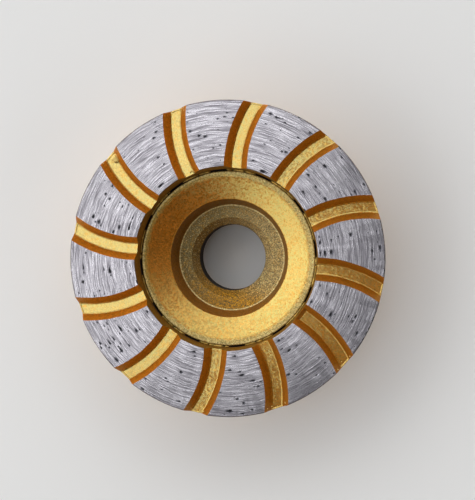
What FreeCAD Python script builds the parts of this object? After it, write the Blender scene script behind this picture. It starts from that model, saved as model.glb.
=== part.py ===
"""Diamond cup wheel, 4 inch, for a 7/8 inch spindle: turned steel body and pressed diamond ring.

Millimetres. The origin is on the wheel's axis, in the plane of the hub's back. +Z points out of the
grinding face, and the wheel rests on its hub with that face up.
"""
import FreeCAD, Part
import math
import os

# Whole wheel
overall_height = 28.0
bore_diameter = 22.23

# Diamond ring
ring_outer_diameter = 101.6
ring_face_inner_diameter = 59.2
ring_foot_inner_diameter = 58.0
ring_height = 8.0
ring_face_edge_radius = 0.35
ring_bottom_edge_radius = 0.4

# Curved grooves pressed into the ring
groove_count = 12
groove_depth = 2.9
groove_mouth_width = 7.5
groove_floor_width = 3.3
groove_floor_corner_radius = 0.5
groove_path_radius = 37.4
groove_radial_point = 32.6
first_groove_angle = 24.0

# Centring rim of the body, inside the ring
rim_clearance = 0.55
rim_drop = 6.1
rim_edge_radius = 0.45
rim_crest_radius = 3.0
rim_width = 2.0

# Dish and counterbore inside the rim
dish_depth = 3.3
counterbore_mouth_diameter = 38.8
counterbore_floor_diameter = 35.4
counterbore_depth = 8.3
counterbore_lip_radius = 0.5
counterbore_corner_radius = 0.35
countersink_diameter = 27.0
countersink_depth = 2.7
bore_back_chamfer = 0.6

# Plate under the ring and the hub behind it
plate_overhang = -0.3
plate_thickness = 5.0
plate_edge_radius = 1.0
plate_root_diameter = 84.0
plate_root_radius = 4.0
hub_diameter = 52.0
hub_edge_radius = 1.5

# Places worked out from the sizes above
ring_seat_z = overall_height - ring_height
groove_floor_z = overall_height - groove_depth
rim_top_z = overall_height - rim_drop
counterbore_mouth_z = rim_top_z - dish_depth
counterbore_floor_z = counterbore_mouth_z - counterbore_depth
bore_edge_z = counterbore_floor_z - countersink_depth
plate_back_z = ring_seat_z - plate_thickness
bore_radius = bore_diameter / 2.0
ring_outer_radius = ring_outer_diameter / 2.0
ring_foot_inner_radius = ring_foot_inner_diameter / 2.0
rim_outer_radius = ring_foot_inner_radius - rim_clearance
plate_outer_radius = ring_outer_radius + plate_overhang


def rounded_outline(corners):
    """Closed face in the XZ plane through (x, z, radius) corners, with an arc where a radius is given."""
    edges = []
    starts = []
    ends = []
    arcs = []
    count = len(corners)
    for i in range(count):
        x, z, radius = corners[i]
        corner = FreeCAD.Vector(x, 0, z)
        if radius <= 0.0:
            starts.append(corner)
            ends.append(corner)
            arcs.append(None)
            continue
        before = FreeCAD.Vector(corners[i - 1][0], 0, corners[i - 1][1]) - corner
        after = FreeCAD.Vector(corners[(i + 1) % count][0], 0, corners[(i + 1) % count][1]) - corner
        half_turn = before.getAngle(after) / 2.0
        before.normalize()
        after.normalize()
        reach = radius / math.tan(half_turn)
        inward = (before + after).normalize()
        middle = corner + inward * (radius / math.sin(half_turn) - radius)
        starts.append(corner + before * reach)
        ends.append(corner + after * reach)
        arcs.append(middle)
    for i in range(count):
        if arcs[i] is not None:
            edges.append(Part.Arc(starts[i], arcs[i], ends[i]).toShape())
        edges.append(Part.LineSegment(ends[i], starts[(i + 1) % count]).toShape())
    return Part.Face(Part.Wire(edges))


def turned(corners):
    """Solid of revolution about the wheel's axis."""
    return rounded_outline(corners).revolve(FreeCAD.Vector(0, 0, 0), FreeCAD.Vector(0, 0, 1), 360)


def steel_body():
    """Hub, dish, centring rim and plate, turned from one piece of steel."""
    return turned([
        (bore_radius + bore_back_chamfer, 0.0, 0.0),
        (hub_diameter / 2.0, 0.0, hub_edge_radius),
        (plate_root_diameter / 2.0, plate_back_z, plate_root_radius),
        (plate_outer_radius, plate_back_z, plate_edge_radius),
        (plate_outer_radius, ring_seat_z, 0.0),
        (rim_outer_radius, ring_seat_z, 0.0),
        (rim_outer_radius, rim_top_z, rim_edge_radius),
        (rim_outer_radius - rim_width, rim_top_z, rim_crest_radius),
        (counterbore_mouth_diameter / 2.0, counterbore_mouth_z, counterbore_lip_radius),
        (counterbore_floor_diameter / 2.0, counterbore_floor_z, counterbore_corner_radius),
        (countersink_diameter / 2.0, counterbore_floor_z, 0.0),
        (bore_radius, bore_edge_z, 0.0),
        (bore_radius, bore_back_chamfer, 0.0),
    ])


def groove_cutter():
    """Channel with sloping walls that leaves the wheel's axis along +X and bends clockwise on an arc."""
    wall_run_per_height = (groove_mouth_width - groove_floor_width) / 2.0 / groove_depth
    half_floor = groove_floor_width / 2.0
    half_mouth = groove_mouth_width / 2.0 + wall_run_per_height * groove_depth
    mouth_z = overall_height + groove_depth
    channel = rounded_outline([
        (groove_path_radius - half_floor, groove_floor_z, groove_floor_corner_radius),
        (groove_path_radius + half_floor, groove_floor_z, groove_floor_corner_radius),
        (groove_path_radius + half_mouth, mouth_z, 0.0),
        (groove_path_radius - half_mouth, mouth_z, 0.0),
    ])
    start_reach = groove_radial_point - ring_foot_inner_radius + groove_mouth_width
    start_angle = math.degrees(math.asin(start_reach / groove_path_radius))
    quarter_turn = 90.0
    axis = FreeCAD.Vector(0, 0, 1)
    cutter = channel.revolve(FreeCAD.Vector(0, 0, 0), axis, start_angle + quarter_turn)
    cutter.translate(FreeCAD.Vector(groove_radial_point, -groove_path_radius, 0))
    return cutter


def diamond_ring():
    """Abrasive ring with its inner wall leaning in towards the foot, and the curved grooves cut in it."""
    ring = turned([
        (ring_foot_inner_radius, ring_seat_z, 0.0),
        (ring_outer_radius, ring_seat_z, ring_bottom_edge_radius),
        (ring_outer_radius, overall_height, ring_face_edge_radius),
        (ring_face_inner_diameter / 2.0, overall_height, ring_face_edge_radius),
        (ring_foot_inner_radius, rim_top_z, 0.0),
    ])
    cutters = []
    for number in range(groove_count):
        cutter = groove_cutter()
        angle = first_groove_angle + number * 360.0 / groove_count
        cutter.rotate(FreeCAD.Vector(0, 0, 0), FreeCAD.Vector(0, 0, 1), angle)
        cutters.append(cutter)
    return ring.cut(cutters)


parts = {
    "steel_body": steel_body(),
    "diamond_ring": diamond_ring(),
}

os.makedirs("parts", exist_ok=True)
for name, shape in parts.items():
    shape.exportStep(f"parts/{name}.step")
    print(name, "valid", shape.isValid(), "solids", len(shape.Solids), "volume", round(shape.Volume, 1))
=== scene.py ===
import math
import random

import bmesh
import bpy
from mathutils import Euler, Matrix, Vector, noise


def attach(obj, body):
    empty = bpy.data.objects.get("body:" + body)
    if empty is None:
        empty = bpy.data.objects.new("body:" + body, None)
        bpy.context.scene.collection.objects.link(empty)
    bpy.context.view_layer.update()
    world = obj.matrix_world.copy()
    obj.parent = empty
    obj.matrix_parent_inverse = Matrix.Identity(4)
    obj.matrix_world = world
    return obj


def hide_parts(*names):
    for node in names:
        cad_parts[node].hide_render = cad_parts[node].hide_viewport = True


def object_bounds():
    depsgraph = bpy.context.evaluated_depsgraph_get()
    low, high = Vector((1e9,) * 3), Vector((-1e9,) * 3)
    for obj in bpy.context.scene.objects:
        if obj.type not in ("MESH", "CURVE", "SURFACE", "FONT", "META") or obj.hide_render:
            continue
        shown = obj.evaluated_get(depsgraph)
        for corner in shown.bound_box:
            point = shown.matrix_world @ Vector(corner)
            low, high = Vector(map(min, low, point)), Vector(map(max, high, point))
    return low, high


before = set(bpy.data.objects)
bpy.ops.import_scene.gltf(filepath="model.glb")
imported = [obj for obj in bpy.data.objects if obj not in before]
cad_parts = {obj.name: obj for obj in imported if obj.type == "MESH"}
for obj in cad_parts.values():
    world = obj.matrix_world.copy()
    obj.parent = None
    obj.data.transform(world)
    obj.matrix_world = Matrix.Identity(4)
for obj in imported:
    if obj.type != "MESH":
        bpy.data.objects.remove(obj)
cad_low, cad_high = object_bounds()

# Camera: held a little off the wheel's axis, looking down on the grinding face, as one photographs a
# wheel lying on a table. Its long lens is given for the taller side of the picture.
mm = 0.001
tip_z = cad_high.z
camera_place = Vector((43.8 * mm, 8.8 * mm, tip_z + 345.6 * mm))
camera_target = Vector((3.95 * mm, 2.8 * mm, tip_z))
look = (camera_target - camera_place).normalized()
right = look.cross(Vector((0, 1, 0))).normalized()
up = right.cross(look)
camera_data = bpy.data.cameras.new("camera")
camera_data.sensor_width = 36.0
camera_data.lens = 78.5
camera_data.clip_start = 0.01
camera_data.clip_end = 10.0
camera = bpy.data.objects.new("camera", camera_data)
camera.matrix_world = Matrix.Translation(camera_place) @ Matrix((right, up, -look)).transposed().to_4x4()
bpy.context.scene.collection.objects.link(camera)
bpy.context.scene.camera = camera
bpy.context.scene.view_settings.view_transform = "Standard"

# Table and light: a plain pale table top, lit from the upper left half of the room by pale walls and a low
# wide window. A patch of lit ceiling on that side shows only in reflections. The other half is dim, with
# grey walls low down, and a weak fill from there is kept out of the reflections.
table_size = 20.0
table_colour = (0.89, 0.89, 0.875, 1.0)
table_roughness = 0.5
lamp_distance = 0.9
window_way = math.radians(145)
window_height = math.radians(30)
window_size = (1.8, 0.6)
window_watts = 2.2
ceiling_way = math.radians(152)
ceiling_height = math.radians(77.5)
ceiling_size = (0.66, 0.30)
ceiling_watts = 1.65
fill_way = math.radians(-30)
fill_height = math.radians(25)
fill_size = (1.4, 0.6)
fill_watts = 2.2
bright_half_way = math.radians(145)
bright_half_edge = (-0.62, 0.25)
bright_half = (1.75, 1.755, 1.78, 1.0)
dim_half = (0.020, 0.016, 0.012, 1.0)
dim_wall = (0.30, 0.29, 0.28, 1.0)
dim_wall_top = (0.35, 0.58)
wall_top = (0.70, 0.85)
ceiling_share = 0.05


def feed(tree, socket, value):
    """Links a value that is a socket, or sets one that is a plain number or colour."""
    if isinstance(value, bpy.types.NodeSocket):
        tree.links.new(value, socket)
    else:
        socket.default_value = value


def arithmetic(tree, operation, *values):
    """Math node with the given operands."""
    node = tree.nodes.new("ShaderNodeMath")
    node.operation = operation
    for socket, value in zip(node.inputs, values):
        feed(tree, socket, value)
    return node.outputs[0]


def vector_arithmetic(tree, operation, *values):
    """Vector Math node with the given operands; gives its number where it has one, or its vector."""
    node = tree.nodes.new("ShaderNodeVectorMath")
    node.operation = operation
    for socket, value in zip(node.inputs, values):
        feed(tree, socket, value)
    gives_number = operation in ("DOT_PRODUCT", "LENGTH")
    return node.outputs["Value"] if gives_number else node.outputs["Vector"]


def spread(tree, value, low, high, new_low=0.0, new_high=1.0):
    """Map Range node, clamped, with a smooth step."""
    node = tree.nodes.new("ShaderNodeMapRange")
    node.interpolation_type = "SMOOTHSTEP"
    for socket, number in zip(node.inputs, (value, low, high, new_low, new_high)):
        feed(tree, socket, number)
    return node.outputs[0]


def along(tree, vector, way, start, end, low=0.0, high=1.0):
    """Value that runs from low to high between two distances along a direction."""
    return spread(tree, vector_arithmetic(tree, "DOT_PRODUCT", vector, way), start, end, low, high)


def blend(tree, factor, first, second):
    """Mix node on colours."""
    node = tree.nodes.new("ShaderNodeMix")
    node.data_type = "RGBA"
    feed(tree, node.inputs[0], factor)
    feed(tree, node.inputs[6], first)
    feed(tree, node.inputs[7], second)
    return node.outputs[2]


def new_material(name):
    """Material with its node tree and its shader."""
    material = bpy.data.materials.new(name)
    material.use_nodes = True
    return material, material.node_tree, material.node_tree.nodes["Principled BSDF"]


def soft_lamp(name, way, height, size, watts):
    """Area lamp facing the wheel from a direction given by its bearing and its height over the table."""
    data = bpy.data.lights.new(name, "AREA")
    data.shape = "RECTANGLE"
    data.size, data.size_y = size
    data.energy = watts
    lamp = bpy.data.objects.new(name, data)
    flat = lamp_distance * math.cos(height)
    lamp.location = (flat * math.cos(way), flat * math.sin(way), lamp_distance * math.sin(height))
    lamp.rotation_mode = "QUATERNION"
    lamp.rotation_quaternion = (-lamp.location).to_track_quat("-Z", "Y")
    bpy.context.scene.collection.objects.link(lamp)
    return lamp


table = bmesh.new()
bmesh.ops.create_grid(table, x_segments=1, y_segments=1, size=table_size / 2.0)
table_mesh = bpy.data.meshes.new("table")
table.to_mesh(table_mesh)
table.free()
table_object = bpy.data.objects.new("table", table_mesh)
bpy.context.scene.collection.objects.link(table_object)
table_material, _, table_shader = new_material("pale_table")
table_shader.inputs["Base Color"].default_value = table_colour
table_shader.inputs["Roughness"].default_value = table_roughness
table_mesh.materials.append(table_material)

soft_lamp("window", window_way, window_height, window_size, window_watts)
ceiling = soft_lamp("ceiling", ceiling_way, ceiling_height, ceiling_size, ceiling_watts)
ceiling.visible_diffuse = False
fill = soft_lamp("fill", fill_way, fill_height, fill_size, fill_watts)
fill.visible_glossy = False

room = bpy.data.worlds.new("room")
room.use_nodes = True
room_tree = room.node_tree
room_light = room_tree.nodes["Background"]
room_way = room_tree.nodes.new("ShaderNodeTexCoord").outputs["Generated"]
bright_way = (math.cos(bright_half_way), math.sin(bright_half_way), 0.0)
bright_side = along(room_tree, room_way, bright_way, *bright_half_edge)
room_rise = vector_arithmetic(room_tree, "DOT_PRODUCT", room_way, (0.0, 0.0, 1.0))
dim_side = blend(room_tree, spread(room_tree, room_rise, *dim_wall_top), dim_wall, dim_half)
room_colour = blend(room_tree, bright_side, dim_side, bright_half)
room_strength = spread(room_tree, room_rise, *wall_top, 1.0, ceiling_share)
room_tree.links.new(room_colour, room_light.inputs["Color"])
room_tree.links.new(room_strength, room_light.inputs["Strength"])
bpy.context.scene.world = room

# Steel body: turned from one piece of bar, with a flat-backed hub, a bore for the spindle, a counterbore
# for the clamp nut, a dish and a centring rim. It is sprayed all over with a gold metallic paint.
turning_steps = 240
bevel_segments = 6
merge_distance = 0.001 * mm
crease_angle = math.radians(32)
bore_radius = 11.115 * mm
ring_seat_z = 20.0 * mm
rim_top_z = 21.9 * mm
rim_outer_radius = 28.45 * mm
rim_inner_radius = 26.45 * mm
counterbore_mouth_radius = 19.4 * mm
counterbore_mouth_z = 18.6 * mm
counterbore_floor_radius = 17.7 * mm
counterbore_floor_z = 10.3 * mm
countersink_radius = 13.5 * mm
bore_edge_z = 7.6 * mm
bore_back_chamfer = 0.6 * mm
hub_radius = 26.0 * mm
plate_back_z = 15.0 * mm
plate_root_radius = 42.0 * mm
plate_outer_radius = 50.5 * mm
gold = (0.54, 0.138, 0.001, 1.0)
flake_gold = (0.38, 0.175, 0.010, 1.0)
# The rim's brown and foot colours are painted shade, and its crest colour a painted highlight.
rim_shaded_brown = (0.37, 0.21, 0.05, 1.0)
rim_khaki = (0.72, 0.55, 0.21, 1.0)
rim_crest_highlight = (0.76, 0.61, 0.27, 1.0)
rim_foot_shadow = (0.05, 0.030, 0.010, 1.0)
brown_coat = (0.14, 0.040, 0.001, 1.0)
thin_khaki = (1.00, 0.71, 0.31, 1.0)
thin_orange = (0.95, 0.42, 0.01, 1.0)
# The counterbore floor's brown is painted shade.
floor_shadow_brown = (0.11, 0.058, 0.012, 1.0)
wall_orange = (0.24, 0.075, 0.004, 1.0)
thin_dark = (0.04, 0.022, 0.006, 1.0)
# The lip colour is a painted highlight at the foot of the counterbore wall.
wall_foot_highlight = (0.85, 0.68, 0.34, 1.0)
counterbore_tint = (1.0, 0.90, 0.45, 1.0)
# Near-black steel colours: painted shade in the bore and in the joint.
shaded_bare_steel = (0.03, 0.020, 0.013, 1.0)
joint_shadow_black = (0.008, 0.006, 0.005, 1.0)
shaded_side_way = (-0.94, 0.34, 0.0)
orange_side_way = (-0.34, -0.94, 0.0)
wall_shadow_way = (-0.87, 0.50, 0.0)
dish_roughness = 0.29
rim_roughness = 0.45
dish_tilt = 0.22
rim_tilt = 0.14
counterbore_roughness = 0.50
counterbore_tilt = 0.30
joint_roughness = 0.9


def scaled(tree, vector, factor):
    """Vector Math node that scales a vector or a colour."""
    node = tree.nodes.new("ShaderNodeVectorMath")
    node.operation = "SCALE"
    feed(tree, node.inputs[0], vector)
    feed(tree, node.inputs["Scale"], factor)
    return node.outputs[0]


def cloud(tree, vector, size, detail=2.0, roughness=0.5):
    """Noise whose features are about the given size in metres."""
    node = tree.nodes.new("ShaderNodeTexNoise")
    feed(tree, node.inputs["Vector"], vector)
    node.inputs["Scale"].default_value = 1.0 / size
    node.inputs["Detail"].default_value = detail
    node.inputs["Roughness"].default_value = roughness
    return node.outputs["Fac"]


def object_place(tree):
    """The point's place on the piece, with its height and its distance from the wheel's axis."""
    vector = tree.nodes.new("ShaderNodeTexCoord").outputs["Object"]
    split = tree.nodes.new("ShaderNodeSeparateXYZ")
    tree.links.new(vector, split.inputs[0])
    flat = vector_arithmetic(tree, "MULTIPLY", vector, (1.0, 1.0, 0.0))
    return vector, split.outputs["Z"], vector_arithmetic(tree, "LENGTH", flat)


def new_group(name, inputs, outputs):
    """Shader node group with its named sockets; returns the group, its inputs' and its outputs' nodes."""
    group = bpy.data.node_groups.new(name, "ShaderNodeTree")
    for socket_name, kind in inputs:
        group.interface.new_socket(name=socket_name, in_out="INPUT", socket_type=kind)
    for socket_name, kind in outputs:
        group.interface.new_socket(name=socket_name, in_out="OUTPUT", socket_type=kind)
    return group, group.nodes.new("NodeGroupInput"), group.nodes.new("NodeGroupOutput")


def place_group(tree, group, **values):
    """Puts a group into a material, with its inputs fed by name."""
    node = tree.nodes.new("ShaderNodeGroup")
    node.node_tree = group
    for name, value in values.items():
        feed(tree, node.inputs[name], value)
    return node


# Grain of the sprayed metallic paint: cells a flake wide, each with its own brightness and lean. Some flakes
# lie bare and shine as metal in their own colour; slow clouds show where the coat is thicker or thinner.
flake_size = 0.40 * mm
coat_cloud_size = 6.0 * mm
orange_peel = 0.03 * mm
cell_share = 0.6
fine_cloud_share = 0.8
mean_tone = 0.7
slow_cloud_share = 0.5
least_brightness = 0.5
bare_flakes_from = 0.5
bare_flake_metal = 0.55
flake_ior = 2.6
flake_tint = (0.94, 1.0, 0.34, 1.0)
grain_group, grain_in, grain_out = new_group(
    "paint_grain",
    [("Place", "NodeSocketVector"), ("Coat", "NodeSocketColor"), ("Contrast", "NodeSocketFloat"),
     ("Tilt", "NodeSocketFloat"), ("Flake", "NodeSocketColor")],
    [("Colour", "NodeSocketColor"), ("Metal", "NodeSocketFloat"), ("Normal", "NodeSocketVector")],
)
flake_cells = grain_group.nodes.new("ShaderNodeTexVoronoi")
grain_group.links.new(grain_in.outputs["Place"], flake_cells.inputs["Vector"])
flake_cells.inputs["Scale"].default_value = 1.0 / flake_size
flake_split = grain_group.nodes.new("ShaderNodeSeparateXYZ")
grain_group.links.new(flake_cells.outputs["Color"], flake_split.inputs[0])
fine_cloud = cloud(grain_group, grain_in.outputs["Place"], 0.8 * flake_size, 2.0, 0.6)
slow_cloud = cloud(grain_group, grain_in.outputs["Place"], coat_cloud_size, 3.0, 0.6)
cell_part = arithmetic(grain_group, "MULTIPLY", flake_split.outputs["X"], cell_share)
fine_part = arithmetic(grain_group, "MULTIPLY", fine_cloud, fine_cloud_share)
flake_tone = arithmetic(grain_group, "ADD", cell_part, fine_part)
off_mean = arithmetic(grain_group, "SUBTRACT", flake_tone, mean_tone)
flake_swing = arithmetic(grain_group, "MULTIPLY", off_mean, grain_in.outputs["Contrast"])
off_middle = arithmetic(grain_group, "SUBTRACT", slow_cloud, 0.5)
slow_swing = arithmetic(grain_group, "MULTIPLY", off_middle, slow_cloud_share)
brightness = arithmetic(grain_group, "ADD", arithmetic(grain_group, "ADD", flake_swing, slow_swing), 1.0)
brightness = arithmetic(grain_group, "MAXIMUM", brightness, least_brightness)
scaled_coat = scaled(grain_group, grain_in.outputs["Coat"], brightness)
held_coat = vector_arithmetic(grain_group, "MINIMUM", scaled_coat, (1.0, 1.0, 1.0))
bare_flake = spread(grain_group, flake_split.outputs["Y"], bare_flakes_from, 1.0, 0.0, bare_flake_metal)
grain_group.links.new(bare_flake, grain_out.inputs["Metal"])
grain_group.links.new(blend(grain_group, bare_flake, held_coat, grain_in.outputs["Flake"]),
                      grain_out.inputs["Colour"])
peel = grain_group.nodes.new("ShaderNodeBump")
peel.inputs["Strength"].default_value = 1.0
grain_group.links.new(arithmetic(grain_group, "MULTIPLY", grain_in.outputs["Tilt"], orange_peel),
                      peel.inputs["Distance"])
grain_group.links.new(fine_cloud, peel.inputs["Height"])
centred = vector_arithmetic(grain_group, "SUBTRACT", flake_cells.outputs["Color"], (0.5, 0.5, 0.5))
flake_lean = scaled(grain_group, centred, grain_in.outputs["Tilt"])
leaning = vector_arithmetic(grain_group, "ADD", peel.outputs["Normal"], flake_lean)
grain_group.links.new(vector_arithmetic(grain_group, "NORMALIZE", leaning), grain_out.inputs["Normal"])


def painted_material(name, coat_mixer, contrast, gloss, tint=flake_tint, flake=flake_gold):
    """Gold paint: deep orange under paler flakes; a function gives its colour, roughness and flakes' tilt."""
    material, tree, shader = new_material(name)
    vector, height, distance = object_place(tree)
    coat, roughness, tilt = coat_mixer(tree, vector, height, distance)
    grain = place_group(tree, grain_group, Place=vector, Coat=coat, Contrast=contrast, Tilt=tilt,
                        Flake=flake)
    tree.links.new(grain.outputs["Colour"], shader.inputs["Base Color"])
    tree.links.new(grain.outputs["Metal"], shader.inputs["Metallic"])
    tree.links.new(grain.outputs["Normal"], shader.inputs["Normal"])
    feed(tree, shader.inputs["Roughness"], roughness)
    shader.inputs["IOR"].default_value = flake_ior
    shader.inputs["Specular IOR Level"].default_value = gloss
    shader.inputs["Specular Tint"].default_value = tint
    return material


def body_coat(tree, vector, height, distance):
    """Full gold on the dish and back; khaki on the rim where rubbed thin, with painted shade making it
    browner and near black at its foot on the side the ring shades, and a painted highlight along its pale
    crest.
    """
    ragged = arithmetic(tree, "MULTIPLY", cloud(tree, vector, 0.9 * mm), 0.8 * mm)
    worn_distance = arithmetic(tree, "ADD", distance, ragged)
    past_dish = spread(tree, worn_distance, rim_inner_radius + 0.25 * mm, rim_inner_radius + 0.70 * mm)
    near_top = spread(tree, height, rim_top_z - 0.8 * mm, rim_top_z - 0.3 * mm)
    on_rim = arithmetic(tree, "MULTIPLY", past_dish, near_top)
    # Painted shade: the rim is browner, and near black at its foot, on the side where the ring's wall shades
    # it.
    shaded_side = along(tree, vector, shaded_side_way, 6.0 * mm, 26.0 * mm)
    rim_wear_and_light = blend(tree, shaded_side, rim_khaki, rim_shaded_brown)
    # Painted highlight: a pale line along the rim's crest.
    crest_highlight_in = spread(tree, worn_distance, rim_inner_radius + 1.25 * mm, rim_inner_radius + 1.6 * mm)
    crest_highlight_out = spread(tree, distance, rim_outer_radius - 0.40 * mm, rim_outer_radius - 0.25 * mm, 0.85, 0.0)
    rim_wear_and_light = blend(tree, arithmetic(tree, "MULTIPLY", crest_highlight_in, crest_highlight_out), rim_wear_and_light, rim_crest_highlight)
    foot_shadow_from = spread(tree, distance, rim_outer_radius - 0.38 * mm, rim_outer_radius - 0.20 * mm)
    rim_wear_and_light = blend(tree, arithmetic(tree, "MULTIPLY", shaded_side, foot_shadow_from), rim_wear_and_light, rim_foot_shadow)
    roughness = spread(tree, on_rim, 0.0, 1.0, dish_roughness, rim_roughness)
    tilt = spread(tree, on_rim, 0.0, 1.0, dish_tilt, rim_tilt)
    return blend(tree, on_rim, gold, rim_wear_and_light), roughness, tilt


def counterbore_coat(tree, vector, height, distance):
    """Thin dark coat down in the counterbore, mottled on its floor, with painted shade where its wall shadows
    the floor, a painted highlight along the foot of its wall, and near-black steel as painted shade in the
    bore.
    """
    mottle = spread(tree, cloud(tree, vector, 0.30 * mm, 2.0, 0.6), 0.36, 0.64)
    orange_side = along(tree, vector, orange_side_way, 4.0 * mm, 13.0 * mm)
    bright_coat = blend(tree, orange_side, thin_khaki, thin_orange)
    # Painted shade: the floor is duller and browner on the side where the wall shadows it.
    wall_shadow_side = along(tree, vector, wall_shadow_way, -8.0 * mm, 15.0 * mm)
    sparse = spread(tree, cloud(tree, vector, 0.34 * mm, 2.0, 0.6), 0.55, 0.66, 0.0, 0.8)
    floor_coat = blend(tree, wall_shadow_side, blend(tree, mottle, thin_dark, bright_coat),
                       blend(tree, sparse, floor_shadow_brown, thin_khaki))
    low_down = spread(tree, height, counterbore_floor_z + 0.2 * mm, counterbore_floor_z + 0.5 * mm, 1.0, 0.0)
    coat = blend(tree, low_down, blend(tree, orange_side, brown_coat, wall_orange), floor_coat)
    # Painted highlight: a bright line on the floor along the foot of the wall.
    near_wall = spread(tree, distance, counterbore_floor_radius - 0.45 * mm,
                       counterbore_floor_radius - 0.2 * mm)
    coat = blend(tree, arithmetic(tree, "MULTIPLY", low_down, near_wall), coat, wall_foot_highlight)
    # Painted shade: near-black steel on the bore's wall.
    in_bore = spread(tree, distance, bore_radius + 0.03 * mm, bore_radius + 0.25 * mm, 1.0, 0.0)
    return blend(tree, in_bore, coat, shaded_bare_steel), counterbore_roughness, counterbore_tilt


def turn_profile(corners, steps):
    """Closed outline of (distance, height, radius) corners turned about the axis, each radius bevelled on."""
    shape = bmesh.new()
    points = [shape.verts.new((x, 0.0, z)) for x, z, radius in corners]
    lines = [shape.edges.new((points[i - 1], points[i])) for i in range(len(points))]
    bmesh.ops.spin(shape, geom=points + lines, cent=(0, 0, 0), axis=(0, 0, 1), angle=math.tau, steps=steps,
                   use_merge=True)
    bmesh.ops.remove_doubles(shape, verts=shape.verts, dist=merge_distance)
    for i, (x, z, radius) in enumerate(corners):
        if radius == 0.0:
            continue
        before = Vector((corners[i - 1][0] - x, corners[i - 1][1] - z))
        after_corner = corners[(i + 1) % len(corners)]
        after = Vector((after_corner[0] - x, after_corner[1] - z))
        reach = radius / math.tan(before.angle(after) / 2.0)
        ring_edges = [edge for edge in shape.edges
                      if all(abs(v.co.z - z) < merge_distance and abs(v.co.xy.length - x) < merge_distance
                             for v in edge.verts)]
        bmesh.ops.bevel(shape, geom=ring_edges, offset=reach, offset_type="OFFSET", segments=bevel_segments,
                        profile=0.5, affect="EDGES", material=-1)
    bmesh.ops.recalc_face_normals(shape, faces=shape.faces)
    return shape


def finish_piece(name, shape, materials, sharp_angle=crease_angle):
    """Turns a bmesh into a smooth-shaded piece that rides on the wheel."""
    mesh = bpy.data.meshes.new(name)
    shape.to_mesh(mesh)
    shape.free()
    mesh.shade_smooth()
    mesh.set_sharp_from_angle(angle=sharp_angle)
    for material in materials:
        mesh.materials.append(material)
    piece = bpy.data.objects.new(name, mesh)
    bpy.context.scene.collection.objects.link(piece)
    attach(piece, "root")
    return piece


body_shape = turn_profile([
    (bore_radius + bore_back_chamfer, 0.0, 0.0),
    (hub_radius, 0.0, 1.5 * mm),
    (plate_root_radius, plate_back_z, 4.0 * mm),
    (plate_outer_radius, plate_back_z, 1.0 * mm),
    (plate_outer_radius, ring_seat_z, 0.0),
    (rim_outer_radius, ring_seat_z, 0.0),
    (rim_outer_radius, rim_top_z, 0.45 * mm),
    (rim_inner_radius, rim_top_z, 3.0 * mm),
    (counterbore_mouth_radius, counterbore_mouth_z, 0.5 * mm),
    (counterbore_floor_radius, counterbore_floor_z, 0.35 * mm),
    (countersink_radius, counterbore_floor_z, 0.15 * mm),
    (bore_radius, bore_edge_z, 0.15 * mm),
    (bore_radius, bore_back_chamfer, 0.0),
], turning_steps)
body_paint = painted_material("gold_body_paint", body_coat, contrast=1.15, gloss=0.80)
rim_paint = painted_material("worn_rim_paint_and_painted_light", body_coat, contrast=1.5, gloss=0.08)
counterbore_paint = painted_material("thin_counterbore_paint", counterbore_coat, contrast=1.5, gloss=0.25,
                                     tint=counterbore_tint)
# Unpainted steel in the joint, at the ring's foot and in the bore, darkened to near black as painted shade.
shaded_joint_steel, joint_tree, joint_shader = new_material("shaded_joint_and_bore_steel")
joint_place = object_place(joint_tree)[0]
joint_shade_tone = blend(joint_tree, cloud(joint_tree, joint_place, 1.0 * mm), shaded_bare_steel, joint_shadow_black)
joint_tree.links.new(joint_shade_tone, joint_shader.inputs["Base Color"])
joint_shader.inputs["Roughness"].default_value = joint_roughness
body_materials = [body_paint, counterbore_paint, shaded_joint_steel, rim_paint]
for face in body_shape.faces:
    middle = face.calc_center_median()
    if middle.xy.length < counterbore_mouth_radius - 0.1 * mm and middle.z > bore_back_chamfer:
        face.material_index = body_materials.index(counterbore_paint)
    # The joint's faces take the near-black steel of painted shade.
    elif middle.xy.length > rim_outer_radius - 0.05 * mm and middle.z > ring_seat_z - 0.1 * mm:
        face.material_index = body_materials.index(shaded_joint_steel)
    elif middle.xy.length > rim_inner_radius + 0.1 * mm and middle.z > rim_top_z - 1.0 * mm:
        face.material_index = body_materials.index(rim_paint)
    # The bore's faces take the near-black steel of painted shade too.
    if middle.xy.length < bore_radius + 0.05 * mm and middle.z > bore_back_chamfer:
        face.material_index = body_materials.index(shaded_joint_steel)
body = finish_piece("turned_body", body_shape, body_materials)
flat_normals = body.modifiers.new("flat_faces", "WEIGHTED_NORMAL")
flat_normals.keep_sharp = True
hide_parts("steel_body")

# Diamond ring: metal bond and diamond pressed and sintered in one piece. Its face has been ground bare,
# so it lies a hair below the tips of the grains standing in it; its walls and grooves are painted.
ring_outer_radius = 50.79 * mm
ring_face_inner_radius = 29.6 * mm
ring_foot_inner_radius = 29.0 * mm
tip_height = 0.05 * mm
face_z = tip_z - tip_height
groove_count = 12
groove_pitch = math.tau / groove_count
groove_depth = 2.9 * mm
groove_mouth_width = 7.5 * mm
groove_floor_width = 3.3 * mm
groove_foot_bevel = 0.30 * mm
longest_foot_edge = 1.5 * mm
groove_path_radius = 37.4 * mm
groove_radial_point = 32.6 * mm
first_groove_angle = math.radians(24.0)
groove_floor_z = tip_z - groove_depth
groove_wander = 0.07 * mm
slow_wander_size = 3.0 * mm
quick_wander_size = 0.8 * mm
quick_wander_share = 0.6
upright_wander_share = 0.15
scratch_width = 0.22 * mm
scratch_length = 7.0 * mm
scratch_relief = 0.05 * mm
bond_light = (0.55, 0.535, 0.575, 1.0)
bond_dark = (0.17, 0.16, 0.18, 1.0)
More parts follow.
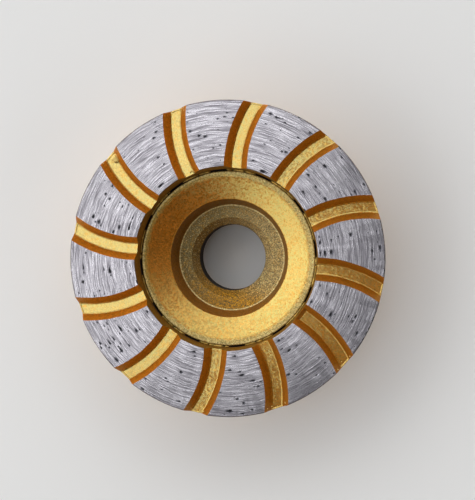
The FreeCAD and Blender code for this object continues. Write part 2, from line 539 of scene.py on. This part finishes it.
# The smudge colour serves random smudges and painted shade in shallow hollows; the pit colour is painted
# shade deep in pits and chips.
smudge_and_hollow_shade = (0.07, 0.07, 0.085, 1.0)
bond_metal = 0.8
pit_shade_black = (0.035, 0.035, 0.040, 1.0)
# The inner wall's brown is painted shade.
inner_wall_shade = (0.14, 0.050, 0.004, 1.0)
ground_edge = (0.13, 0.105, 0.10, 1.0)
floor_gold = (0.45, 0.142, 0.002, 1.0)
floor_tint = (0.98, 1.0, 0.40, 1.0)
floor_flake = (0.46, 0.24, 0.020, 1.0)
floor_roughness = 0.20
wall_roughness = 0.45
groove_tilt = 0.075
# The walls' brown is the gold paint darkened as painted shade; their brightening towards one side is painted
# light.
wall_shaded_brown = (0.33, 0.086, 0.002, 1.0)
lit_side_way = (-0.9, 0.44, 0.0)

# Lay of the grinding scratches: noise drawn out along circles round the axis, fine lines over broad ones.
lay_group, lay_in, lay_out = new_group(
    "ground_lay",
    [("Place", "NodeSocketVector")],
    [("Tone", "NodeSocketFloat"), ("Height", "NodeSocketFloat")],
)
flat_place = vector_arithmetic(lay_group, "MULTIPLY", lay_in.outputs["Place"], (1.0, 1.0, 0.0))
around = vector_arithmetic(lay_group, "NORMALIZE", flat_place)
sway = cloud(lay_group, lay_in.outputs["Place"], 4.0 * mm, 1.0)
swayed_distance = arithmetic(lay_group, "ADD", vector_arithmetic(lay_group, "LENGTH", flat_place),
                             arithmetic(lay_group, "MULTIPLY", sway, 0.7 * mm))


def drawn_out(width, length, detail, roughness):
    """Noise in streaks of a given width and length round the axis, measured at the middle of the ring."""
    middle_radius = (ring_outer_radius + ring_face_inner_radius) / 2.0
    turns = middle_radius / length
    lengthwise = vector_arithmetic(lay_group, "MULTIPLY", around, (turns, turns, 0.0))
    crosswise = lay_group.nodes.new("ShaderNodeCombineXYZ")
    lay_group.links.new(arithmetic(lay_group, "DIVIDE", swayed_distance, width), crosswise.inputs["Z"])
    place = vector_arithmetic(lay_group, "ADD", lengthwise, crosswise.outputs[0])
    return cloud(lay_group, place, 1.0, detail, roughness)


fine_lines = drawn_out(scratch_width, scratch_length, 3.0, 0.65)
broad_lines = drawn_out(3.0 * scratch_width, 2.0 * scratch_length, 2.0, 0.5)
lines = arithmetic(lay_group, "ADD", arithmetic(lay_group, "MULTIPLY", fine_lines, 0.88),
                   arithmetic(lay_group, "MULTIPLY", broad_lines, 0.12))
lay_group.links.new(spread(lay_group, lines, 0.36, 0.64), lay_out.inputs["Tone"])
lay_group.links.new(lines, lay_out.inputs["Height"])

bond, bond_tree, bond_shader = new_material("ground_bond")
bond_place, bond_height, bond_distance = object_place(bond_tree)
lay = place_group(bond_tree, lay_group, Place=bond_place)
bond_tone = blend(bond_tree, lay.outputs["Tone"], bond_dark, bond_light)
speckle = cloud(bond_tree, bond_place, 0.5 * mm, 3.0, 0.65)
smudge = arithmetic(bond_tree, "MULTIPLY", cloud(bond_tree, bond_place, 2.2 * mm, 3.0, 0.6), 0.5)
speckle_mask = spread(bond_tree, arithmetic(bond_tree, "ADD", speckle, smudge), 0.84, 0.98, 0.0, 0.55)
speckled = blend(bond_tree, speckle_mask, bond_tone, smudge_and_hollow_shade)
# Painted shade: the bond darkens with depth below the face, to a smudge in shallow hollows and on the rounded
# edges, and to near black deep in the pits and chips.
shallow_hollow_shade = spread(bond_tree, bond_height, face_z - 0.08 * mm, face_z - 0.002 * mm, 0.85, 0.0)
ragged_distance = arithmetic(bond_tree, "ADD", bond_distance,
                             arithmetic(bond_tree, "MULTIPLY", speckle, 0.6 * mm))
outer_edge = spread(bond_tree, ragged_distance, ring_outer_radius - 0.15 * mm, ring_outer_radius + 0.20 * mm,
                    0.0, 0.85)
speckled = blend(bond_tree, outer_edge, speckled, ground_edge)
pit_shade = spread(bond_tree, bond_height, face_z - 0.20 * mm, face_z - 0.08 * mm, 1.0, 0.0)
bond_with_hollow_shade = blend(bond_tree, pit_shade, blend(bond_tree, shallow_hollow_shade, speckled, smudge_and_hollow_shade), pit_shade_black)
bond_tree.links.new(bond_with_hollow_shade, bond_shader.inputs["Base Color"])
bond_roughness = spread(bond_tree, lay.outputs["Tone"], 0.0, 1.0, 0.34, 0.27)
bond_tree.links.new(bond_roughness, bond_shader.inputs["Roughness"])
bond_bump = bond_tree.nodes.new("ShaderNodeBump")
bond_bump.inputs["Strength"].default_value = 1.0
bond_bump.inputs["Distance"].default_value = scratch_relief
bond_tree.links.new(lay.outputs["Height"], bond_bump.inputs["Height"])
bond_tree.links.new(bond_bump.outputs["Normal"], bond_shader.inputs["Normal"])
bond_shader.inputs["Metallic"].default_value = bond_metal


def groove_coat(tree, vector, height, distance):
    """Gold on the groove floors; on the walls the same paint darkened to brown-orange as painted shade,
    brighter towards one side as painted light.
    """
    ragged = arithmetic(tree, "MULTIPLY", cloud(tree, vector, 0.7 * mm), 0.25 * mm)
    shaded_wall_share = spread(tree, arithmetic(tree, "ADD", height, ragged), groove_floor_z + 0.20 * mm,
                     groove_floor_z + 0.50 * mm)
    # Painted light: the walls are brighter on the side towards the light.
    lit_side = along(tree, vector, lit_side_way, -45.0 * mm, 45.0 * mm, 0.80, 1.35)
    coat = blend(tree, shaded_wall_share, floor_gold, scaled(tree, wall_shaded_brown[:3], lit_side))
    return coat, spread(tree, shaded_wall_share, 0.0, 1.0, floor_roughness, wall_roughness), groove_tilt


def wall_coat(tree, vector, height, distance):
    """Brown-orange on the ring's walls, the gold paint darkened as painted shade and darker still on the
    inner wall, ground off in a ragged line along the face.
    """
    ragged = arithmetic(tree, "MULTIPLY", cloud(tree, vector, 0.6 * mm, 3.0), 0.5 * mm)
    ground_off = spread(tree, arithmetic(tree, "ADD", height, ragged), face_z, face_z + 0.12 * mm)
    # Painted shade: the ring's inner wall is darker.
    inner_wall_shade_share = spread(tree, distance, 31.0 * mm, 32.0 * mm, 1.0, 0.0)
    coat = blend(tree, inner_wall_shade_share, wall_shaded_brown, inner_wall_shade)
    roughness = 0.55
    tilt = 0.20
    return blend(tree, ground_off, coat, ground_edge), roughness, tilt


groove_paint = painted_material("gold_groove_paint", groove_coat, contrast=0.9, gloss=0.64, tint=floor_tint,
                                flake=floor_flake)
groove_wall_paint = painted_material("gold_groove_wall_paint", groove_coat, contrast=0.9, gloss=0.12)
wall_paint = painted_material("gold_wall_paint", wall_coat, contrast=0.4, gloss=0.12)

ring_shape = turn_profile([
    (ring_foot_inner_radius, ring_seat_z, 0.0),
    (ring_outer_radius, ring_seat_z, 0.4 * mm),
    (ring_outer_radius, face_z, 0.25 * mm),
    (ring_face_inner_radius, face_z, 0.12 * mm),
    (ring_foot_inner_radius, rim_top_z, 0.0),
], turning_steps)
ring_materials = [bond, wall_paint, groove_paint, groove_wall_paint, shaded_joint_steel]
for face in ring_shape.faces:
    middle = face.calc_center_median()
    if face.normal.z < 0.5 or middle.z < face_z - 0.5 * mm:
        face.material_index = ring_materials.index(wall_paint)
    # The ring's foot in the joint takes the near-black steel of painted shade.
    if middle.xy.length < ring_foot_inner_radius + 0.1 * mm and middle.z < rim_top_z:
        face.material_index = ring_materials.index(shaded_joint_steel)
ring = finish_piece("sintered_ring", ring_shape, ring_materials)
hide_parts("diamond_ring")


def groove_frame(number):
    """Turns a place given for a groove that leaves the axis along +X into that of the numbered groove."""
    return Matrix.Rotation(first_groove_angle + number * groove_pitch, 4, "Z")


def cutter_object(name, shape, materials):
    """Solid for a boolean cut, which leaves its materials on the cut faces; removed after the cut."""
    bmesh.ops.recalc_face_normals(shape, faces=shape.faces)
    mesh = bpy.data.meshes.new(name)
    shape.to_mesh(mesh)
    shape.free()
    for material in materials:
        mesh.materials.append(material)
    cutter = bpy.data.objects.new(name, mesh)
    bpy.context.scene.collection.objects.link(cutter)
    return cutter


def pour(target, source):
    """Moves all of one bmesh into another."""
    carrier = bpy.data.meshes.new("carrier")
    source.to_mesh(carrier)
    source.free()
    target.from_mesh(carrier)
    bpy.data.meshes.remove(carrier)


def along_foot(edge):
    """True for an edge between a groove's floor and one of its walls, but not for one across its end."""
    on_floor = all(abs(v.co.z - groove_floor_z) < merge_distance for v in edge.verts)
    rising = sum(face.calc_center_median().z > groove_floor_z + 0.01 * mm for face in edge.link_faces)
    return on_floor and rising == 1 and (edge.verts[0].co - edge.verts[1].co).length < longest_foot_edge


groove_shape = bmesh.new()
mouth_overcut = 0.5 * mm
half_floor = groove_floor_width / 2.0
wall_run_per_height = (groove_mouth_width - groove_floor_width) / 2.0 / groove_depth
half_top = half_floor + wall_run_per_height * (groove_depth + mouth_overcut)
sweep_start = math.radians(-9.0)
sweep_end = math.radians(36.0)
sweep_steps = 100
for number in range(groove_count):
    groove = bmesh.new()
    corners = [
        (groove_path_radius - half_floor, groove_floor_z),
        (groove_path_radius + half_floor, groove_floor_z),
        (groove_path_radius + half_top, tip_z + mouth_overcut),
        (groove_path_radius - half_top, tip_z + mouth_overcut),
    ]
    section_face = groove.faces.new([groove.verts.new((x, 0.0, z)) for x, z in corners])
    bmesh.ops.rotate(groove, verts=groove.verts, cent=(0, 0, 0),
                     matrix=Matrix.Rotation(math.pi / 2.0 - sweep_start, 3, "Z"))
    bmesh.ops.spin(groove, geom=[section_face], cent=(0, 0, 0), axis=(0, 0, 1),
                   angle=sweep_start - sweep_end, steps=sweep_steps)
    bmesh.ops.translate(groove, verts=groove.verts, vec=(groove_radial_point, -groove_path_radius, 0))
    foot_edges = [edge for edge in groove.edges if along_foot(edge)]
    bmesh.ops.bevel(groove, geom=foot_edges, offset=groove_foot_bevel, offset_type="OFFSET", segments=4,
                    profile=0.5, affect="EDGES", material=-1)
    bmesh.ops.transform(groove, matrix=groove_frame(number), verts=groove.verts)
    for vert in groove.verts:
        wander = noise.noise_vector(vert.co / slow_wander_size)
        wander += quick_wander_share * noise.noise_vector(vert.co / quick_wander_size)
        wander.z *= upright_wander_share
        vert.co += wander * groove_wander
    for face in groove.faces:
        face.material_index = int(face.calc_center_median().z > groove_floor_z + 0.2 * mm)
    pour(groove_shape, groove)
grooves = cutter_object("grooves", groove_shape, [groove_paint, groove_wall_paint])

# Diamond grains: dark crystals of crushed grit, each in a pit where the bond has worn from round it, drawn
# out a little on the side that the wheel turns from. Small chips have broken from the ring's edges.
rng = random.Random(4794)
grain_total = 180
grain_radius_low = 0.08 * mm
grain_radius_high = 0.27 * mm
grain_spacing = 1.1 * mm
grain_edge_margin = 0.6 * mm
grain_groove_margin = 0.30 * mm
least_strength_with_grain = 0.8
worn_radius = 3.4
worn_depth = 0.08 * mm
core_share = 0.42
core_depth = 1.2
grit_black = (0.010, 0.010, 0.012, 1.0)
grit_grey = (0.05, 0.05, 0.055, 1.0)
outer_chips = ((44.0, 0.55), (62.0, 0.45), (124.0, 0.35), (250.0, 0.35), (330.0, 0.55), (332.5, 0.60),
               (335.0, 0.50), (338.0, 0.60), (341.0, 0.45), (356.0, 0.50), (359.0, 0.40))
inner_chips = ((31.5, 0.40), (158.0, 0.35), (195.0, 0.45))


def in_groove(x, y, margin):
    """True where a point of the face is in the mouth of a groove, or within a margin of it."""
    for number in range(groove_count):
        place = groove_frame(number).inverted() @ Vector((x, y, 0.0))
        if place.x < 20.0 * mm or place.y < -15.0 * mm:
            continue
        from_centre = math.hypot(place.x - groove_radial_point, place.y + groove_path_radius)
        if abs(from_centre - groove_path_radius) < groove_mouth_width / 2.0 + margin:
            return True
    return False


grains = []
while len(grains) < grain_total:
    share = rng.random()
    inner = ring_face_inner_radius + grain_edge_margin
    outer = ring_outer_radius - grain_edge_margin
    distance = math.sqrt(inner ** 2 + share * (outer ** 2 - inner ** 2))
    angle = rng.uniform(-math.pi, math.pi)
    x = distance * math.cos(angle)
    y = distance * math.sin(angle)
    size = grain_radius_low + (grain_radius_high - grain_radius_low) * rng.random() ** 1.6
    if in_groove(x, y, grain_groove_margin):
        continue
    if any(math.hypot(x - grain[0], y - grain[1]) < grain_spacing for grain in grains):
        continue
    grains.append((x, y, size, angle))

pit_shape = bmesh.new()
grain_shape = bmesh.new()
for x, y, size, angle in grains:
    tail = rng.uniform(1.0, 3.2)
    strength = rng.uniform(0.5, 1.6)
    narrow = rng.uniform(0.65, 1.0)
    made = bmesh.ops.create_icosphere(pit_shape, subdivisions=3, radius=1.0)["verts"]
    for vert in made:
        out = vert.co.xy.length
        ragged = 1.0 + 0.9 * noise.noise(vert.co * 2.6 + Vector((x, y, 0.0)) * 9000.0)
        drawn = tail if vert.co.x > 0.0 else 1.0
        core = max(1.0 - (out * ragged / core_share) ** 2, 0.0)
        hollow = worn_depth * (1.0 - out ** 2) + core_depth * size * strength * core
        side = 1.0 if vert.co.z > 0.0 else -1.0
        flat = size * worn_radius * ragged
        vert.co = Vector((vert.co.x * drawn * flat, vert.co.y * narrow * flat, side * hollow))
    turn = Matrix.Rotation(angle - math.pi / 2.0, 4, "Z")
    bmesh.ops.transform(pit_shape, matrix=Matrix.Translation((x, y, face_z)) @ turn, verts=made)
    if strength < least_strength_with_grain:
        continue
    crystal = bmesh.ops.create_icosphere(grain_shape, subdivisions=1, radius=size * 0.7)["verts"]
    tumble = Euler([rng.uniform(0.0, math.tau) for _ in range(3)]).to_matrix().to_4x4()
    squash = Matrix.Diagonal((rng.uniform(0.8, 1.1), rng.uniform(0.7, 1.0), rng.uniform(0.7, 1.0), 1.0))
    bmesh.ops.transform(grain_shape, matrix=squash @ tumble, verts=crystal)
    top = max(vert.co.z for vert in crystal)
    rise = tip_z - rng.uniform(0.0, 0.08) * mm - top
    bmesh.ops.transform(grain_shape, matrix=Matrix.Translation((x, y, rise)), verts=crystal)
for edge_radius, chips in ((ring_outer_radius, outer_chips), (ring_face_inner_radius, inner_chips)):
    for degrees, size in chips:
        made = bmesh.ops.create_icosphere(pit_shape, subdivisions=3, radius=size * mm)["verts"]
        for vert in made:
            vert.co *= 1.0 + 0.5 * noise.noise(vert.co / (0.5 * mm) + Vector((degrees, 0.0, 0.0)))
        bmesh.ops.scale(pit_shape, vec=(0.75, 1.9, 0.75), verts=made)
        turn = Matrix.Rotation(math.radians(degrees), 4, "Z")
        place = turn @ Matrix.Translation((edge_radius, 0.0, face_z))
        bmesh.ops.transform(pit_shape, matrix=place, verts=made)
pits = cutter_object("pits", pit_shape, [bond])

grit, grit_tree, grit_shader = new_material("diamond_grit")
grit_place = object_place(grit_tree)[0]
grit_tone = spread(grit_tree, cloud(grit_tree, grit_place, 1.5 * mm, 1.0), 0.35, 0.65)
grit_tree.links.new(blend(grit_tree, grit_tone, grit_black, grit_grey), grit_shader.inputs["Base Color"])
grit_shader.inputs["Roughness"].default_value = 0.35
finish_piece("diamond_grains", grain_shape, [grit], sharp_angle=math.radians(10))

for name, cutter in (("pits", pits), ("grooves", grooves)):
    cut = ring.modifiers.new(name, "BOOLEAN")
    cut.operation = "DIFFERENCE"
    cut.solver = "EXACT"
    cut.material_mode = "TRANSFER"
    cut.use_self = name == "pits"
    cut.object = cutter
bpy.context.view_layer.update()
cut_mesh = bpy.data.meshes.new_from_object(ring.evaluated_get(bpy.context.evaluated_depsgraph_get()))
cut_mesh.name = "sintered_ring"
ring.modifiers.clear()
ring.data = cut_mesh
for cutter in (pits, grooves):
    bpy.data.objects.remove(cutter)

# Paint beads: where the spray ran into the joint between rim and ring it bridges it in twelve arcs, with
# the open joint showing between them, and a bead of it stands along the outer end of each groove floor.
joint_radius = 28.78 * mm
joint_bead_z = 21.55 * mm
joint_bead_size = 0.30 * mm
first_slot_angle = math.radians(6.0)
slot_span = math.radians(10.5)
end_bead_radius = ring_outer_radius - 0.32 * mm
end_bead_z = groove_floor_z + 0.02 * mm
end_bead_size = 0.24 * mm
end_bead_overlap = 0.25 * mm
bead_step = 0.25 * mm
bead_gold = (0.72, 0.38, 0.08, 1.0)
bead_brown = (0.24, 0.085, 0.010, 1.0)
# The pale end colour is partly the paint's own colour on lumps and spatter, partly a painted highlight on the
# end beads.
end_gold_and_highlight = (0.90, 0.60, 0.20, 1.0)
bead_shape = bmesh.new()


def bead_arc(distance, height, size, start, end, swell):
    """Bead of paint along an arc about the axis, as thick at each share of its length as a function says."""
    arc = bmesh.new()
    span = end - start
    steps = max(int(span * distance / bead_step), 2)
    bmesh.ops.create_circle(arc, cap_ends=False, segments=8, radius=size)
    bmesh.ops.rotate(arc, verts=arc.verts, cent=(0, 0, 0), matrix=Matrix.Rotation(math.pi / 2.0, 3, "X"))
    bmesh.ops.translate(arc, verts=arc.verts, vec=(distance, 0.0, height))
    bmesh.ops.spin(arc, geom=arc.edges[:] + arc.verts[:], cent=(0, 0, 0), axis=(0, 0, 1), angle=span,
                   steps=steps)
    open_ends = [edge for edge in arc.edges if len(edge.link_faces) == 1]
    bmesh.ops.holes_fill(arc, edges=open_ends, sides=8)
    for vert in arc.verts:
        share = math.atan2(vert.co.y, vert.co.x) / span
        core = Vector((vert.co.x, vert.co.y, 0.0)).normalized() * distance
        core.z = height
        vert.co = core + (vert.co - core) * swell(share, start * distance + share * span * distance)
    bmesh.ops.rotate(arc, verts=arc.verts, cent=(0, 0, 0), matrix=Matrix.Rotation(start, 3, "Z"))
    bmesh.ops.recalc_face_normals(arc, faces=arc.faces)
    return arc


def joint_swell(share, length):
    """Ends that taper off, and necks in between where the paint has pulled thin."""
    taper = min(1.0, 12.0 * share + 0.25, 12.0 * (1.0 - share) + 0.25)
    neck = noise.noise(Vector((length / (1.3 * mm), 0.0, 0.0)))
    return taper * (1.0 + 0.25 * neck) * (0.35 if neck < -0.33 else 1.0)


def end_swell(share, length):
    """Small ends and an uneven middle."""
    taper = min(1.0, 4.0 * share + 0.35, 4.0 * (1.0 - share) + 0.35)
    return taper * (1.0 + 0.35 * noise.noise(Vector((length / (0.9 * mm), 0.0, 0.0))))


def path_bearing(number, distance):
    """Bearing of the middle of a groove at a distance from the axis, by the law of cosines."""
    centre = Vector((groove_radial_point, -groove_path_radius))
    both_squares = distance ** 2 + centre.length_squared
    cosine = (both_squares - groove_path_radius ** 2) / (2.0 * distance * centre.length)
    return math.atan2(centre.y, centre.x) + math.acos(cosine) + first_groove_angle + number * groove_pitch


for number in range(groove_count):
    slot_middle = first_slot_angle + number * groove_pitch
    pour(bead_shape, bead_arc(joint_radius, joint_bead_z, joint_bead_size, slot_middle + slot_span / 2.0,
                              slot_middle + groove_pitch - slot_span / 2.0, joint_swell))
    end_middle = path_bearing(number, end_bead_radius)
    half_span = (half_floor + end_bead_overlap) / end_bead_radius
    pour(bead_shape, bead_arc(end_bead_radius, end_bead_z, end_bead_size, end_middle - half_span,
                              end_middle + half_span, end_swell))

# Faults of the spraying, as found on this wheel: two lumps dried at the outer end of one groove, a lifted lip
# at the inner end of the next, and spatter along other groove ends. Dark arcs beside the lumps and the lip
# are partly cracked skin and partly painted shadow.
# Each is a distance, bearing and height, and then its size, or the bend, start, end and size of a curl.
lumps = ((48.7, 137.9, 25.30, 1.20), (49.3, 135.9, 25.55, 0.80), (30.9, 108.6, 25.35, 0.55),
         (50.3, 173.2, 26.60, 0.30), (49.9, 293.0, 26.40, 0.35))
lips = ((30.6, 110.4, 25.25, 0.85, 150.0, 370.0, 0.16), (29.9, 112.0, 25.25, 0.45, 300.0, 460.0, 0.13))
cracks_and_shadows = ((48.6, 138.0, 25.22, 1.45, 110.0, 260.0, 0.17), (49.3, 136.0, 25.60, 0.95, 190.0, 330.0, 0.13),
          (30.6, 110.4, 25.20, 1.08, 150.0, 360.0, 0.15))
spatter_ends = (3, 4, 8, 9, 10)
spatter_count = 9
# Dark arc colours: partly cracked paint, partly painted shadow beside the lumps and the lip.
crack_shadow_dark = (0.05, 0.020, 0.003, 1.0)
crack_shadow_brown = (0.12, 0.05, 0.01, 1.0)
for distance, degrees, height, size in lumps:
    made = bmesh.ops.create_icosphere(bead_shape, subdivisions=3, radius=size * mm)["verts"]
    for vert in made:
        vert.co *= 1.0 + 0.45 * noise.noise(vert.co / (0.9 * size * mm) + Vector((degrees, 0.0, 0.0)))
    bmesh.ops.scale(bead_shape, vec=(1.0, 1.15, 0.5), verts=made)
    turn = Matrix.Rotation(math.radians(degrees), 4, "Z")
    place = turn @ Matrix.Translation((distance * mm, 0.0, height * mm))
    bmesh.ops.transform(bead_shape, matrix=place, verts=made)
for number in spatter_ends:
    for _ in range(spatter_count):
        across = rng.uniform(-1.0, 1.0)
        distance = ring_outer_radius - rng.uniform(0.35, 1.3) * mm
        up_slope = max(abs(across) * half_top - half_floor, 0.0) / wall_run_per_height
        bearing = path_bearing(number, distance) + across * half_top / distance
        size = rng.uniform(0.10, 0.22) * mm
        made = bmesh.ops.create_icosphere(bead_shape, subdivisions=2, radius=size)["verts"]
        place = Vector((distance * math.cos(bearing), distance * math.sin(bearing),
                        groove_floor_z + up_slope))
        if place.z < face_z - 0.5 * mm:
            bmesh.ops.translate(bead_shape, vec=place, verts=made)
        else:
            bmesh.ops.delete(bead_shape, geom=made, context="VERTS")
for fault_group, material_index in ((lips, 0), (cracks_and_shadows, 1)):
    for distance, degrees, height, bend, start, end, size in fault_group:
        curl = bead_arc(bend * mm, 0.0, size * mm, math.radians(start), math.radians(end), end_swell)
        for face in curl.faces:
            face.material_index = material_index
        turn = Matrix.Rotation(math.radians(degrees), 4, "Z")
        place = turn @ Matrix.Translation((distance * mm, 0.0, height * mm))
        bmesh.ops.transform(curl, matrix=place, verts=curl.verts)
        pour(bead_shape, curl)


def bead_coat(tree, vector, height, distance):
    """Pale gold at the outer groove ends, partly the paint's own colour on lumps and spatter there and partly
    a painted highlight on the end beads; brown with paler patches in the joint.
    """
    patch = spread(tree, cloud(tree, vector, 1.4 * mm), 0.36, 0.52)
    bead_tone = blend(tree, patch, bead_gold, bead_brown)
    # Pale at the outer groove ends: partly the lumps' and spatter's own paint, partly a painted highlight on
    # the end beads.
    in_groove_end = spread(tree, distance, 40.0 * mm, 42.0 * mm)
    roughness = 0.42
    tilt = 0.15
    return blend(tree, in_groove_end, bead_tone, end_gold_and_highlight), roughness, tilt


def crack_and_shadow_coat(tree, vector, height, distance):
    """Dark brown where the paint's skin has cracked, and painted shadow beside the lumps and the lip."""
    roughness = 0.7
    tilt = 0.1
    return blend(tree, cloud(tree, vector, 0.6 * mm), crack_shadow_dark, crack_shadow_brown), roughness, tilt


bead_paint = painted_material("gold_bead_paint", bead_coat, contrast=0.4, gloss=0.4)
crack_and_shadow_paint = painted_material("cracked_and_shadow_paint", crack_and_shadow_coat, contrast=0.4, gloss=0.1)
finish_piece("paint_beads", bead_shape, [bead_paint, crack_and_shadow_paint], sharp_angle=math.radians(60))

# Unbroken skin at the inner end of the groove at 324 degrees: the pressed ring keeps a low sill there, which
# slopes down to the groove's floor and carries the same paint as the walls.
sill_groove = 10
sill_bearing_radius = 30.0 * mm
sill_inner_radius = 29.30 * mm
sill_outer_radius = 30.75 * mm
sill_length = 5.0 * mm
sill_height = 1.0 * mm
sill_outer_drop = 0.05 * mm
sill_sunk = 0.4 * mm
sill_bevel = 0.3 * mm
sill = bmesh.new()
for vert in bmesh.ops.create_cube(sill, size=1.0)["verts"]:
    outer_side = vert.co.x > 0.0
    raised = vert.co.z > 0.0
    distance = sill_outer_radius if outer_side else sill_inner_radius
    height = groove_floor_z - sill_sunk
    if raised:
        height = groove_floor_z - sill_outer_drop if outer_side else groove_floor_z + sill_height
    vert.co = Vector((distance, vert.co.y * sill_length, height))
top_edges = [edge for edge in sill.edges
             if all(v.co.z > groove_floor_z + sill_height / 2.0 for v in edge.verts)]
bmesh.ops.bevel(sill, geom=top_edges, offset=sill_bevel, offset_type="OFFSET", segments=4, profile=0.5,
                affect="EDGES", material=-1)
bmesh.ops.rotate(sill, verts=sill.verts, cent=(0, 0, 0),
                 matrix=Matrix.Rotation(path_bearing(sill_groove, sill_bearing_radius), 3, "Z"))
bmesh.ops.recalc_face_normals(sill, faces=sill.faces)
finish_piece("groove_sill", sill, [groove_wall_paint])
